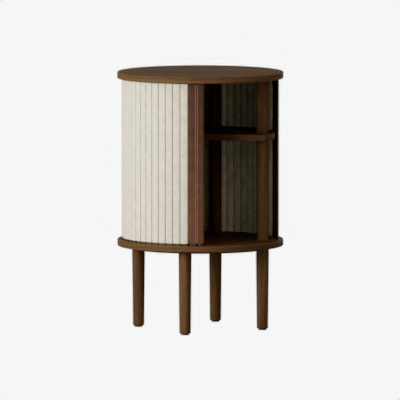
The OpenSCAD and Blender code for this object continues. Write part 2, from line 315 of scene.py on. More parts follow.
def new_group(name, kind, inputs, outputs):
    """A node group with its sockets. inputs maps a name to its kind or to its default."""
    tree = bpy.data.node_groups.new(name, kind)
    for label, value in inputs.items():
        socket_type = SOCKETS[value if isinstance(value, str) else type(value)]
        socket = tree.interface.new_socket(label, in_out="INPUT", socket_type=socket_type)
        if not isinstance(value, str):
            socket.default_value = value
    for label, value in outputs.items():
        tree.interface.new_socket(label, in_out="OUTPUT", socket_type=SOCKETS[value])
    nodes = Nodes(tree)
    given = nodes.add("NodeGroupInput").outputs
    result = nodes.add("NodeGroupOutput").inputs
    return nodes, given, result


# ---- Effects shared by materials

def build_wood_grain(nodes, given, result):
    """Long streaks and fine pores along X, in metres."""
    grain = given["Vector"]
    slow = (2.0, 9.0, 9.0)
    along_streaks = (0.03, 1.0, 1.0)
    along_pores = (0.045, 1.0, 1.0)
    wander = 0.03
    drift = nodes.noise(nodes.vector("MULTIPLY", grain, slow))
    sway = nodes.times(nodes.minus(drift, 0.5), wander)
    swayed = nodes.vector("ADD", grain, nodes.combine(0.0, sway, sway))
    streaks = nodes.noise(nodes.vector("MULTIPLY", swayed, along_streaks),
                          nodes.over(1.0, given["Streak Width"]), detail=4.0, roughness=0.62)
    pores = nodes.noise(nodes.vector("MULTIPLY", grain, along_pores),
                        nodes.over(1.0, given["Pore Width"]), roughness=0.6)
    pore_mask = nodes.ramp(pores, 0.56, 0.70)
    tone = nodes.ramp(streaks, 0.30, 0.70)
    body = nodes.mix(tone, given["Dark Tone"], given["Light Tone"])
    shade = nodes.times(nodes.span(drift, 0.90, 1.10), nodes.span(pore_mask, 1.0, 0.62))
    nodes.feed(result["Color"], nodes.tint(body, shade))
    nodes.feed(result["Streaks"], tone)
    nodes.feed(result["Height"], nodes.minus(nodes.times(tone, 0.35), pore_mask))


def build_weave(nodes, given, result):
    """Plain weave with uneven yarns. The vector is the unrolled cloth in metres."""
    cloth = given["Vector"]
    across, up, _ = nodes.separate(cloth)
    per_yarn = nodes.over(1.0, given["Yarn"])
    wobble = nodes.times(nodes.minus(nodes.noise(cloth, 60.0), 0.5), 1.6)
    crossing = nodes.times(*[
        nodes.math("SINE", nodes.times(nodes.plus(nodes.times(way, per_yarn), wobble), math.pi))
        for way in (across, up)])
    bulge = nodes.math("SQRT", nodes.math("ABSOLUTE", crossing))
    # Uneven yarns: long thin patches along the weft and along the warp
    weft = nodes.noise(nodes.combine(nodes.times(across, 0.09), up, 0.0),
                       nodes.times(per_yarn, 0.62), detail=3.0, roughness=0.7)
    warp = nodes.noise(nodes.combine(across, nodes.times(up, 0.05), 3.0),
                       nodes.times(per_yarn, 0.55), detail=3.0, roughness=0.7)
    uneven = nodes.times(nodes.plus(weft, warp), 0.5)
    cloudy = nodes.noise(cloth, 55.0, detail=3.0, roughness=0.6)
    tone = nodes.ramp(nodes.plus(nodes.times(uneven, 0.7), nodes.times(cloudy, 0.3)), 0.36, 0.62)
    slub = nodes.ramp(weft, 0.66, 0.78)
    yarns = nodes.mix(tone, given["Dark Yarn"], given["Light Yarn"])
    shade = nodes.times(nodes.span(bulge, 0.86, 1.03), nodes.span(slub, 1.0, 0.93))
    nodes.feed(result["Color"], nodes.tint(yarns, shade))
    nodes.feed(result["Height"], nodes.plus(bulge, nodes.times(slub, 0.8)))


def build_pebble(nodes, given, result):
    """Pebbled grain of a hide: cells of uneven size with creases between."""
    swirl = nodes.add("ShaderNodeTexNoise", named={"Vector": given["Vector"], "Scale": 260.0})
    bent = nodes.vector("ADD", given["Vector"], nodes.vector("SCALE", swirl.outputs[1], 0.0016))
    cells = nodes.add("ShaderNodeTexVoronoi", feature="DISTANCE_TO_EDGE",
                      named={"Vector": bent, "Scale": given["Cells"]}).outputs[0]
    crease = nodes.ramp(cells, 0.22, 0.02)
    cloudy = nodes.noise(given["Vector"], 38.0, detail=4.0, roughness=0.65)
    nodes.feed(result["Creases"], crease)
    nodes.feed(result["Clouds"], nodes.ramp(cloudy, 0.32, 0.68))
    nodes.feed(result["Height"], nodes.minus(nodes.times(cloudy, 0.4), crease))


def build_speckle(nodes, given, result):
    """Faint cloudy unevenness of a plain surface."""
    place, scale = given["Vector"], given["Scale"]
    nodes.feed(result["Fine"], nodes.noise(place, scale, detail=3.0, roughness=0.6))
    nodes.feed(result["Broad"], nodes.noise(place, nodes.times(scale, 0.12)))


# What each shared effect is built by, what it takes and what it gives
EFFECTS = {
    "Wood grain": (build_wood_grain,
                   {"Vector": "vector", "Light Tone": "colour", "Dark Tone": "colour",
                    "Streak Width": 0.011, "Pore Width": 0.001},
                   {"Color": "colour", "Streaks": float, "Height": float}),
    "Weave": (build_weave,
              {"Vector": "vector", "Light Yarn": "colour", "Dark Yarn": "colour", "Yarn": 0.0008},
              {"Color": "colour", "Height": float}),
    "Pebbled hide": (build_pebble, {"Vector": "vector", "Cells": 900.0},
                     {"Creases": float, "Clouds": float, "Height": float}),
    "Speckle": (build_speckle, {"Vector": "vector", "Scale": 900.0},
                {"Fine": float, "Broad": float}),
}


def effect_group(name):
    """The node group of an effect, which is built the first time."""
    if name not in bpy.data.node_groups:
        build, inputs, outputs = EFFECTS[name]
        build(*new_group(name, "ShaderNodeTree", inputs, outputs))
    return bpy.data.node_groups[name]


# ---- Materials

class Material(Nodes):
    """A material with one Principled shader."""

    def __init__(self, name, **shader_inputs):
        self.made = bpy.data.materials.new(name)
        self.made.use_nodes = True
        super().__init__(self.made.node_tree)
        self.shader = self.add("ShaderNodeBsdfPrincipled", named=shader_inputs)
        self.add("ShaderNodeOutputMaterial", self.shader.outputs[0])

    def place(self, effect, **values):
        """A shared effect with its inputs fed by name."""
        node = self.add("ShaderNodeGroup", node_tree=effect_group(effect))
        for name, value in values.items():
            self.feed(node.inputs[name.replace("_", " ").title()], value)
        return node.outputs

    def coordinates(self, kind="Object"):
        return self.add("ShaderNodeTexCoord").outputs[kind]

    def set(self, name, value):
        self.feed(self.shader.inputs[name], value)

    def level(self):
        """0 on an upright face and 1 on a level one."""
        return self.math("ABSOLUTE", self.separate(self.coordinates("Normal"))[2])

    def bump(self, height, distance, strength=1.0):
        node = self.add("ShaderNodeBump",
                        named={"Height": height, "Distance": distance, "Strength": strength})
        self.set("Normal", node.outputs[0])


def rgba(colour_value, brightness=1.0):
    return (*[brightness * c for c in colour_value], 1.0)


def board_coordinates(mat):
    """Grain along X on the faces, and round the rim on the edge band."""
    place = mat.coordinates()
    x, y, z = mat.separate(place)
    run = mat.times(mat.math("ARCTAN2", y, x), mat.vector("LENGTH", mat.combine(x, y)))
    band = mat.combine(run, mat.times(z, 2.0), 4.0)
    return mat.mix(mat.ramp(mat.level(), 0.68, 0.63), place, band, "VECTOR")


def upright_grain(mat):
    """Grain along Z, as on a turned leg or a slat."""
    x, y, z = mat.separate(mat.coordinates())
    return mat.combine(z, x, y)


def wood_tones(mat, look, grain, light, dark):
    """Grained wood between two colours."""
    return mat.place("Wood grain", vector=grain, light_tone=light, dark_tone=dark,
                     streak_width=look.streak_width, pore_width=look.pore_width)


def finish_wood(mat, look, grain, rub, brightness=1.0):
    """Colour, roughness and pores of stained and lacquered oak."""
    wood = wood_tones(mat, look, grain, rgba(look.light_tone), rgba(look.dark_tone))
    # A brightness below 1 is painted shade, for a board that sits in shade
    paler = mat.span(rub, brightness, brightness * (1.0 + look.edge_rub))
    mat.set("Base Color", mat.tint(wood["Color"], paler))
    mat.set("Roughness", mat.span(wood["Streaks"], look.roughness + 0.07, look.roughness - 0.05))
    mat.set("Specular IOR Level", look.shine)
    mat.bump(wood["Height"], 0.00012)


def board_wood(look, board, brightness):
    """Oak of one board, rubbed on its rounded edges, which are neither upright nor level."""
    mat = Material(f"Stained oak {board.replace('_', ' ')}")
    level = mat.level()
    rounding = mat.times(mat.ramp(level, 0.05, 0.45), mat.ramp(level, 0.98, 0.85))
    finish_wood(mat, look, board_coordinates(mat), rounding, brightness)
    return mat.made


def turned_wood(look):
    """Oak of the legs and posts, rubbed at their ends."""
    mat = Material("Stained oak turned")
    finish_wood(mat, look, upright_grain(mat), mat.ramp(mat.level(), 0.1, 0.7))
    return mat.made


def slat_wood(look):
    """Plain dark wood of the slats under the cloth, kept dark as painted shade for the gap below the
    hem.
    """
    mat = Material("Slat wood", Roughness=0.62)
    wood = wood_tones(mat, look, upright_grain(mat), rgba(look.dark_tone), rgba(look.dark_tone, 0.6))
    mat.set("Base Color", wood["Color"])
    mat.bump(wood["Height"], 0.0001)
    return mat.made


def clouded(name, light, dark, roughness, scale, relief, metallic=0.0):
    """A plain finish with faint clouds. roughness is its least and its most."""
    mat = Material(name, Metallic=metallic)
    marks = mat.place("Speckle", vector=mat.coordinates(), scale=scale)
    mat.set("Base Color", mat.mix(marks["Broad"], rgba(dark), rgba(light)))
    mat.set("Roughness", mat.span(marks["Fine"], *roughness))
    mat.bump(marks["Fine"], relief)
    return mat.made


def brass():
    return clouded("Brass", light=(0.62, 0.44, 0.20), dark=(0.50, 0.34, 0.15),
                   roughness=(0.26, 0.46), scale=1400.0, relief=0.00002, metallic=1.0)


def zinc_plate():
    return clouded("Zinc plated steel", light=(0.62, 0.63, 0.64), dark=(0.48, 0.49, 0.50),
                   roughness=(0.30, 0.50), scale=1400.0, relief=0.00002, metallic=1.0)


def glide_plastic():
    return clouded("Black plastic", light=(0.018, 0.014, 0.011), dark=(0.008, 0.006, 0.005),
                   roughness=(0.50, 0.68), scale=2200.0, relief=0.00003)


def dark_paint_and_shade():
    """Matt black-brown paint under the base plate, kept near-black as painted shade where the rim shades
    it.
    """
    return clouded("Dark paint", light=(0.016, 0.012, 0.009), dark=(0.010, 0.007, 0.005),
                   roughness=(0.55, 0.75), scale=700.0, relief=0.00005)


def woven(name, look, light, dark, sheen, slat_width, back=None):
    """Cloth, with painted shade deep in the slit where it is drawn in between two slats.

    back is the colour of painted shade on the side that faces away from the table's axis.
    """
    slit_shade_reach = 0.0005
    least_outwards = 0.09
    mat = Material(name, Roughness=0.9)
    mat.set("Sheen Weight", sheen)
    mat.set("Sheen Roughness", 0.5)
    mat.set("Specular IOR Level", 0.2)
    unrolled = mat.coordinates("UV")
    cloth = mat.place("Weave", vector=unrolled, light_yarn=rgba(light), dark_yarn=rgba(dark),
                      yarn=look.yarn)
    across = mat.math("FRACT", mat.over(mat.separate(unrolled)[0], slat_width))
    from_middle = mat.math("ABSOLUTE", mat.minus(across, 0.5))
    from_slit = mat.times(mat.minus(0.5, from_middle), slat_width)
    # Painted shade: the cloth turns near-black deep in each slit, where shade falls
    in_slit = mat.ramp(from_slit, look.slit + slit_shade_reach, look.slit)
    tone = mat.mix(in_slit, cloth["Color"], rgba(look.painted_gap_shade))
    if back:
        # Painted shade on the side facing away from the axis, the lining's back
        outwards = mat.vector("DOT_PRODUCT", mat.coordinates(), mat.coordinates("Normal"))
        faces_out = mat.math("GREATER_THAN", outwards, least_outwards)
        tone = mat.mix(faces_out, tone, rgba(back))
    mat.set("Base Color", tone)
    mat.bump(cloth["Height"], 0.00018, strength=0.8)
    return mat.made


def hide(look, low, high):
    """Brown leather, darker in its creases, with painted shade along the cloth and towards its top."""
    crease_share = 0.5
    cloth_shade_share = 0.8
    cloth_shade_reach = (0.0036, 0.0012)
    mat = Material("Leather")
    grain = mat.place("Pebbled hide", vector=mat.coordinates(), cells=850.0)
    tone = mat.mix(grain["Clouds"], rgba(look.hide, 0.84), rgba(look.hide, 1.12))
    run, height, _ = mat.separate(mat.coordinates("UV"))
    # Painted shade: darker along the cloth, where the cloth's rib casts shade on the leather
    shade_along_cloth = mat.times(mat.ramp(run, *cloth_shade_reach), cloth_shade_share)
    dark = mat.math("MAXIMUM", mat.times(grain["Creases"], crease_share), shade_along_cloth)
    # Painted shade and painted reflection: darker towards the top, lighter towards the bottom
    painted_shade_by_height = mat.span(mat.ramp(height, high, low), 0.70, 1.10)
    mat.set("Base Color", mat.tint(mat.mix(dark, tone, rgba(look.hide_in_creases_and_shade)), painted_shade_by_height))
    mat.set("Roughness", mat.span(grain["Clouds"], 0.58, 0.48))
    mat.set("Specular IOR Level", 0.175)
    mat.bump(grain["Height"], 0.00012, strength=0.7)
    return mat.made


def thread(look):
    """Waxed thread with a slanting twist."""
    up_twist = 9000.0
    across_twist = 7000.0
    mat = Material("Waxed thread", Roughness=0.6)
    x, _, z = mat.separate(mat.coordinates())
    slant = mat.plus(mat.times(z, up_twist), mat.times(x, across_twist))
    twist = mat.span(mat.math("SINE", slant), 0.0, 1.0)
    mat.set("Base Color", mat.mix(twist, rgba(look.thread_colour, 0.8), rgba(look.thread_colour)))
    mat.bump(twist, 0.00006)
    return mat.made


def paint(names, material):
    """Gives CAD nodes a finish."""
    for name in names:
        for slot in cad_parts[name].material_slots:
            slot.link = "OBJECT"
            slot.material = material


# ---- Meshes from geometry nodes

def plain_object(name, mesh):
    made = bpy.data.objects.new(name, mesh)
    bpy.context.scene.collection.objects.link(made)
    return made


def settle(obj):
    """Puts what the modifiers make in the mesh and takes the modifiers off."""
    bpy.context.view_layer.update()
    evaluated = obj.evaluated_get(bpy.context.evaluated_depsgraph_get())
    mesh = bpy.data.meshes.new_from_object(evaluated)
    old = obj.data
    obj.modifiers.clear()
    obj.data = mesh
    bpy.data.meshes.remove(old)
    return obj


def grow(name, tree, values, start=None):
    """An object whose mesh a geometry tree makes from named values."""
    obj = plain_object(name, start or bpy.data.meshes.new(name))
    modifier = obj.modifiers.new(name, "NODES")
    modifier.node_group = tree
    sockets = {s.name: s.identifier for s in tree.interface.items_tree if s.item_type == "SOCKET"}
    for label, value in values.items():
        modifier[sockets[label]] = value
    return settle(obj)


def thicken(obj, thickness):
    """Gives a sheet its thickness, from its outer face inwards."""
    modifier = obj.modifiers.new("Thickness", "SOLIDIFY")
    modifier.thickness = thickness
    modifier.offset = -1.0
    return settle(obj)


def smooth(obj):
    """Smooth shading, with the cut edges of cloth and leather kept crisp."""
    obj.data.shade_smooth()
    obj.data.set_sharp_from_angle(angle=math.radians(60))
    return obj


def geometry_group(name, inputs):
    return new_group(name, "GeometryNodeTree", inputs, {"Geometry": "geometry"})


def put_out(nodes, given, result, geometry):
    """Ends a geometry tree with a plain mesh in its material."""
    plain = nodes.add("GeometryNodeRealizeInstances", geometry).outputs[0]
    shown = nodes.add("GeometryNodeSetMaterial", plain, None, given["Material"]).outputs[0]
    nodes.feed(result["Geometry"], shown)


# Columns of a ribbed sheet on each slat, its rows, and how much the columns crowd towards the gaps
STATIONS_PER_SLAT = 20
ROWS_UP = 25
CROWDING = 2.2

# How fast the slits' depths and the cloth's puffs change, for each slat and for each metre up
SLIT_CHANGE = (7.3, 9.0)
PUFF_CHANGE = (0.9, 14.0)


def swing(nodes, station):
    """From -1 at one gap to 1 at the next."""
    return nodes.math("MULTIPLY_ADD", nodes.math("FRACT", station), 2.0, -1.0)


def crowded_station(nodes, given, x):
    """A column's place in slats, kept within the sheet's first and last."""
    per_slat = float(STATIONS_PER_SLAT)
    along = nodes.times(nodes.plus(x, 0.5), given["Slats"])
    snapped = nodes.over(nodes.math("ROUND", nodes.times(along, per_slat)), per_slat)
    sweep = swing(nodes, snapped)
    from_gap = nodes.math("POWER", nodes.minus(1.0, nodes.math("ABSOLUTE", sweep)), CROWDING)
    crowded = nodes.times(nodes.math("SIGN", sweep), nodes.minus(1.0, from_gap))
    station = nodes.plus(nodes.math("FLOOR", snapped), nodes.math("MULTIPLY_ADD", crowded, 0.5, 0.5))
    return nodes.within(station, given["First"], given["Last"])


def unevenness(nodes, given, station, height, change):
    per_slat, per_metre = change
    return nodes.noise(nodes.combine(nodes.times(station, per_slat),
                                     nodes.times(height, per_metre), given["Seed"]))


def cloth_depth(nodes, given, station, height):
    """How far the cloth lies below its highest line."""
    s = swing(nodes, station)
    square = nodes.times(s, s)
    half = nodes.times(given["Pitch"], given["Radius"], 0.5)
    gap = nodes.times(nodes.minus(1.0, nodes.math("ABSOLUTE", s)), half)
    over = nodes.minus(nodes.plus(given["Fold"], given["Slit"]), gap)
    lean = nodes.within(over, 0.0, given["Fold"])
    upright = nodes.math("SQRT", nodes.minus(nodes.times(given["Fold"], given["Fold"]),
                                             nodes.times(lean, lean)))
    fold = nodes.minus(given["Fold"], upright)
    # The slits differ in depth from one to the next
    uneven = unevenness(nodes, given, nodes.math("ROUND", station), height, SLIT_CHANGE)
    below = nodes.times(nodes.minus(given["Draw"], given["Fold"]), nodes.span(uneven, 0.7, 1.0))
    in_slit = nodes.math("MAXIMUM", nodes.minus(1.0, nodes.over(gap, given["Slit"])), 0.0)
    sunk_in = nodes.plus(fold, nodes.times(below, in_slit))
    drop = nodes.plus(nodes.times(given["Crown"], square), sunk_in)
    # The cloth stands off its slat a little, more on some slats than on others
    puffed = unevenness(nodes, given, station, height, PUFF_CHANGE)
    return nodes.minus(drop, nodes.times(puffed, given["Relief"], nodes.minus(1.0, square)))


def ribbed_sheet_tree():
    """Cloth laid over upright slats round a circle and drawn in between them."""
    inputs = {"Slats": 43, "Start": 0.0, "Pitch": 0.1, "First": 0.0, "Last": 43.0,
              "Radius": 0.2, "Side": 1.0, "Low": 0.0, "High": 0.4, "Crown": 0.0005,
              "Fold": 0.0014, "Slit": 0.0003, "Draw": 0.002, "Relief": 0.0001, "Seed": 1.0,
              "Material": "material"}
    nodes, given, result = geometry_group("Ribbed sheet", inputs)
    columns = nodes.plus(nodes.times(given["Slats"], float(STATIONS_PER_SLAT)), 1.0)
    grid = nodes.add("GeometryNodeMeshGrid", 1.0, 1.0, columns, ROWS_UP).outputs[0]
    x, y, _ = nodes.separate(nodes.add("GeometryNodeInputPosition").outputs[0])
    station = crowded_station(nodes, given, x)
    height = nodes.span(nodes.plus(y, 0.5), given["Low"], given["High"])
    depth = cloth_depth(nodes, given, station, height)
    radius = nodes.minus(given["Radius"], nodes.times(given["Side"], depth))
    turn = nodes.math("MULTIPLY_ADD", station, given["Pitch"], given["Start"])
    shaped = nodes.combine(nodes.times(radius, nodes.math("COSINE", turn)),
                           nodes.times(radius, nodes.math("SINE", turn)), height)
    unrolled = nodes.combine(nodes.times(station, given["Pitch"], given["Radius"]), height)
    mapped = nodes.add("GeometryNodeStoreNamedAttribute", data_type="FLOAT2", domain="CORNER",
                       named={"Geometry": grid, "Name": "UVMap", "Value": unrolled}).outputs[0]
    placed = nodes.add("GeometryNodeSetPosition", mapped, None, shaped).outputs[0]
    merged = nodes.add("GeometryNodeMergeByDistance", named={"Geometry": placed, "Distance": 1e-6})
    inside = nodes.add("FunctionNodeCompare", given["Side"], 0.0, data_type="FLOAT",
                       operation="LESS_THAN").outputs[0]
    faced = nodes.add("GeometryNodeFlipFaces", merged.outputs[0], inside).outputs[0]
    put_out(nodes, given, result, faced)
    return nodes.tree


def stitch_tree():
    """Stitches at even steps along each seam line, slanting a little."""
    inputs = {"Lines": "geometry", "Pitch": 0.004, "Length": 0.003, "Thread": 0.001,
              "Material": "material"}
    nodes, given, result = geometry_group("Stitches", inputs)
    curve = nodes.add("GeometryNodeMeshToCurve", given["Lines"]).outputs[0]
    points = nodes.add("GeometryNodeCurveToPoints", mode="LENGTH",
                       named={"Curve": curve, "Length": given["Pitch"]})
    ball = nodes.add("GeometryNodeMeshUVSphere", 8, 7, 0.5).outputs[0]
    size = nodes.combine(given["Thread"], given["Thread"], given["Length"])
    lean = 0.06
    turned = nodes.add("FunctionNodeRandomValue", data_type="FLOAT_VECTOR",
                       named={"Min": (-lean, -lean, 0.0), "Max": (lean, lean, 6.28), "Seed": 3})
    stitches = nodes.add("GeometryNodeInstanceOnPoints",
                         named={"Points": points.outputs[0], "Instance": ball,
                                "Rotation": open_output(turned), "Scale": size}).outputs[0]
    put_out(nodes, given, result, stitches)
    return nodes.tree


# ---- The curtain's shape

def sunk(look, gap, draw):
    """Depth of the cloth below its slat at a distance from the gap's middle."""
    lean = min(max(look.fold + look.slit - gap, 0.0), look.fold)
    folded = look.fold - math.sqrt(look.fold ** 2 - lean ** 2)
    return folded + (draw - look.fold) * max(0.0, 1 - gap / look.slit)


def curtain_sizes(look):
    """Angles and radii of the curtain, read from the frame."""
    first, last = angles("curtain_cloth")
    outer = radii("curtain_cloth")[1]
    inner = radii("curtain_lining")[0]
    low, high = heights("curtain_cloth")
    return dict(first=first, last=last, outer=outer, inner=inner, low=low, high=high,
                pitch=(last - first) / look.slats)


def drawn_length(look, at, radius, crown, draw):
    """Length of cloth over one slat, down into the gap and back up."""
    half = at["pitch"] * radius / 2
    spread = [(2 * i / STATIONS_PER_SLAT) ** CROWDING for i in range(STATIONS_PER_SLAT // 2 + 1)]
    flat = [(half * far, crown * (1 - far) ** 2 + sunk(look, half * far, draw)) for far in spread]
    return 2 * sum(math.dist(a, b) for a, b in zip(flat, flat[1:]))


def ribbed_sheet(name, look, at, material, **own):
    """own holds the inputs in which the cloth and the lining differ."""
    values = {"Slats": look.slats, "Start": at["first"], "Pitch": at["pitch"],
              "High": at["high"], "Fold": look.fold, "Slit": look.slit, "Relief": look.relief,
              "Material": material}
    values.update({label.title(): value for label, value in own.items()})
    return smooth(thicken(grow(name, ribbed_sheet_tree(), values), look.thickness))


# ---- Leather ends

# Distances between the points of a leather end's outline, and the points round its nose
TURN_IN_STEP = 0.0002
FLAT_STEP = 0.0018
SEAM_STEP = 0.00035
NOSE_SIDE_STEP = 0.0016
NOSE_STEPS = 20

# Shares of the welts' spacing: reach of the fine steps, and widths of a welt and of the channel
SEAM_REACH = 1.1
WELT_WIDTH = 0.1764
CHANNEL_WIDTH = 0.189

# How far the stitches pinch a welt in and out, how far it wanders in a slow wave, and the
# wave's phase for each metre up and each radian round the table
PINCH = 0.00009
WANDER = 0.0001
WAVE_UP = 31
WAVE_ROUND = 2.1


def steps(start, stop, step):
    """Even steps of about that size, without the last."""
    count = max(1, round(abs(stop - start) / step))
    return [start + (stop - start) * i / count for i in range(count)]


def hump(distance, width):
    """1 at no distance, falling away smoothly."""
    return math.exp(-(distance / width) ** 2)


def leather_relief(look, curtain, run):
    """How far the leather stands proud at a distance from the cloth."""
    crown_reach = 4 * (curtain.fold + curtain.slit)
    dip = curtain.crown * max(0.0, 1 - run / crown_reach) ** 2 + sunk(curtain, run, curtain.draw)
    off = abs(run - look.seam)
    welt = look.welt_height * hump(off - look.welt_spacing / 2, WELT_WIDTH * look.welt_spacing)
    channel = look.channel * hump(off, CHANNEL_WIDTH * look.welt_spacing)
    return welt - channel - dip


def leather_line(look, curtain, at, edge_angle, end_angle):
    """Outer face of a leather end, seen from above, from the cloth round the end to its flap.

    Each point is (radius, angle). The welts stand proud beside the seam's channel.
    """
    turn = 1 if end_angle > edge_angle else -1
    half = (at["outer"] - at["inner"]) / 2
    middle = (at["outer"] + at["inner"]) / 2
    nose_length = look.nose_stretch * half
    nose_angle = end_angle - turn * math.atan(nose_length / middle)
    straight = abs(nose_angle - edge_angle) * at["outer"]
    turn_in = curtain.fold + curtain.slit
    seam_start = look.seam - SEAM_REACH * look.welt_spacing
    seam_stop = look.seam + SEAM_REACH * look.welt_spacing
    outside = (steps(0.0, turn_in, TURN_IN_STEP) + steps(turn_in, seam_start, FLAT_STEP)
               + steps(seam_start, seam_stop, SEAM_STEP)
               + steps(seam_stop, straight, NOSE_SIDE_STEP))
    points = [(at["outer"] + leather_relief(look, curtain, run),
               edge_angle + turn * run / at["outer"]) for run in outside]
    for i in range(NOSE_STEPS + 1):
        lean = math.pi * (0.5 - i / NOSE_STEPS)
        reach = math.atan(nose_length * math.cos(lean) / middle)
        points.append((middle + half * math.sin(lean), nose_angle + turn * reach))
    width = abs(end_angle - edge_angle) * at["outer"]
    flap_end = edge_angle - turn * (look.flap - width) / at["inner"]
    inside_length = abs(nose_angle - flap_end) * at["inner"]
    inside = steps(0.0, inside_length, FLAT_STEP)[1:] + [inside_length]
    points += [(at["inner"], nose_angle - turn * run / at["inner"]) for run in inside]
    return points, turn


def leather_end(name, look, curtain, at, edge_angle, end_angle, material):
    """A strip of leather folded round the curtain's end, with its welts pinched by the stitches."""
    line, turn = leather_line(look, curtain, at, edge_angle, end_angle)
    rows = round(2 * (at["high"] - at["low"]) / look.stitch_pitch)
    run = [0.0]
    flat = [on_arc(*point) for point in line]
    for a, b in zip(flat, flat[1:]):
        run.append(run[-1] + math.dist(a, b))
    outer_face = at["outer"] - curtain.thickness
    near_seam = [hump(abs(angle - edge_angle) * at["outer"] - look.seam, look.welt_spacing)
                 if radius > outer_face else 0.0 for radius, angle in line]
    vertices = []
    for row in range(rows + 1):
        z = at["low"] + (at["high"] - at["low"]) * row / rows
        pinch = PINCH if row % 2 else -PINCH
        for (radius, angle), near in zip(line, near_seam):
            wander = WANDER * math.sin(WAVE_UP * z + WAVE_ROUND * angle)
            vertices.append((*on_arc(radius + near * (pinch + wander), angle), z))
    count = len(line)
    faces = []
    for row in range(rows):
        for a in range(row * count, (row + 1) * count - 1):
            quad = [a, a + 1, a + 1 + count, a + count]
            faces.append(quad if turn > 0 else quad[::-1])
    mesh = bpy.data.meshes.new(name)
    mesh.from_pydata(vertices, [], faces)
    unrolled = mesh.uv_layers.new(name="UVMap")
    for loop in mesh.loops:
        column = loop.vertex_index % count
        unrolled.data[loop.index].uv = (run[column], vertices[loop.vertex_index][2])
    mesh.materials.append(material)
    return smooth(thicken(plain_object(name, mesh), curtain.thickness))


def welt_lines(look, at, ends):
    """One upright line on each welt of each end, for the stitches to follow."""
    margin = 1.2 * look.stitch_pitch
    pressed_in = 0.15 * look.thread
    radius = at["outer"] + look.welt_height - pressed_in
    vertices, edges = [], []
    for edge_angle, end_angle in ends:
        turn = 1 if end_angle > edge_angle else -1
        for side in (-1, 1):
            along = look.seam + side * look.welt_spacing / 2
            x, y = on_arc(radius, edge_angle + turn * along / at["outer"])
            edges.append((len(vertices), len(vertices) + 1))
            vertices += [(x, y, at["low"] + margin), (x, y, at["high"] - margin)]
    mesh = bpy.data.meshes.new("Welt lines")
    mesh.from_pydata(vertices, edges, [])
    return mesh


def leather_ends_at(at):
    """(angle at the cloth, angle of the curtain's end) of the front end and of the rear end."""
    rear_end = angles("leather_end_rear")[0]
    front_end = angles("leather_end_front")[1]
    return {"leather_front": (at["last"], front_end), "leather_rear": (at["first"], rear_end)}


# ---- Operators

class MakeStudio(bpy.types.Operator):
    """Camera, soft lights, pale floor and pale backdrop"""

    bl_idname = "bedside.studio"
    bl_label = "Studio"

    def execute(self, context):
        look = context.scene.table_studio
        self.aim_camera(context, look)
        self.hang_lights(look)
        self.lay_floor(look)
        self.wrap_backdrop(context, look)
        self.set_tones(context)
        return {"FINISHED"}

    def aim_camera(self, context, look):
        data = bpy.data.cameras.new("Camera")
        data.lens = look.lens
        data.clip_end = 2 * look.distance
        camera = plain_object("Camera", data)
        sine, cosine = math.sin(look.view_angle), math.cos(look.view_angle)
        place = Vector((look.distance * sine, -look.distance * cosine, look.height))
        camera.location = place - look.side_step * Vector((cosine, sine, 0.0))
        camera.rotation_euler = (math.pi / 2 - look.pitch, 0.0, look.view_angle)
        context.scene.camera = camera

    def hang_light(self, look, name, power, side, rise, distance, wide, high):
        """A soft light, side degrees to the right of the camera and rise degrees up."""
        data = bpy.data.lights.new(name, "AREA")
        data.shape = "RECTANGLE"
        data.size = wide
        data.size_y = high
        data.energy = power
        light = plain_object(name, data)
        turn = look.view_angle + math.radians(side)
        up = math.radians(rise)
        direction = Vector((math.sin(turn) * math.cos(up), -math.cos(turn) * math.cos(up), math.sin(up)))
        centre = Vector((0.0, 0.0, cad_box[1].z / 2))
        light.location = centre + distance * direction
        light.rotation_euler = direction.to_track_quat("Z", "Y").to_euler()

    def hang_lights(self, look):
        powers = {"Key": look.key_power, "Top": look.top_power, "Fill": look.fill_power,
                  "Back": look.back_power}
        for kind, lights in LIGHTS.items():
            for i, (part, *place) in enumerate(lights, 1):
                self.hang_light(look, f"{kind} light {i}", part * powers[kind], *place)

    def set_tones(self, context):
        """Deep shadows and soft highlights."""
        view = context.scene.view_settings
        view.view_transform = "Standard"
        view.use_curve_mapping = True
        curve = view.curve_mapping.curves[3]
        curve.points[0].location = TONES[0]
        curve.points[-1].location = TONES[-1]
        for tone in TONES[1:-1]:
            curve.points.new(*tone)
        for point in curve.points:
            point.handle_type = "VECTOR"
        view.curve_mapping.update()

    def seen_apart(self, nodes, lighting, shown):
        """One shader for the light it gives and another for the camera."""
        seen = nodes.add("ShaderNodeLightPath").outputs["Is Camera Ray"]
        return nodes.add("ShaderNodeMixShader", seen, lighting, shown).outputs[0]

    def lay_floor(self, look):
        corners = [(x * look.floor_reach, y * look.floor_reach, 0.0)
                   for x, y in ((-1, -1), (1, -1), (1, 1), (-1, 1))]
        mesh = bpy.data.meshes.new("Floor")
        mesh.from_pydata(corners, [], [(0, 1, 2, 3)])
        floor = plain_object("Floor", mesh)
        material = bpy.data.materials.new("Pale floor")
        material.use_nodes = True
        nodes = Nodes(material.node_tree)
        bounce = nodes.add("ShaderNodeBsdfDiffuse", rgba(WHITE, look.floor_bounce)).outputs[0]
        glow = nodes.add("ShaderNodeEmission", rgba(WHITE, look.backdrop), 1.0).outputs[0]
        nodes.add("ShaderNodeOutputMaterial", self.seen_apart(nodes, bounce, glow))
        mesh.materials.append(material)

    def wrap_backdrop(self, context, look):
        world = bpy.data.worlds.new("Backdrop")
        world.use_nodes = True
        nodes = Nodes(world.node_tree)
        light = nodes.add("ShaderNodeBackground", rgba(WHITE), look.ambient).outputs[0]
        shown = nodes.add("ShaderNodeBackground", rgba(WHITE), look.backdrop).outputs[0]
        nodes.add("ShaderNodeOutputWorld", self.seen_apart(nodes, light, shown))
        context.scene.world = world


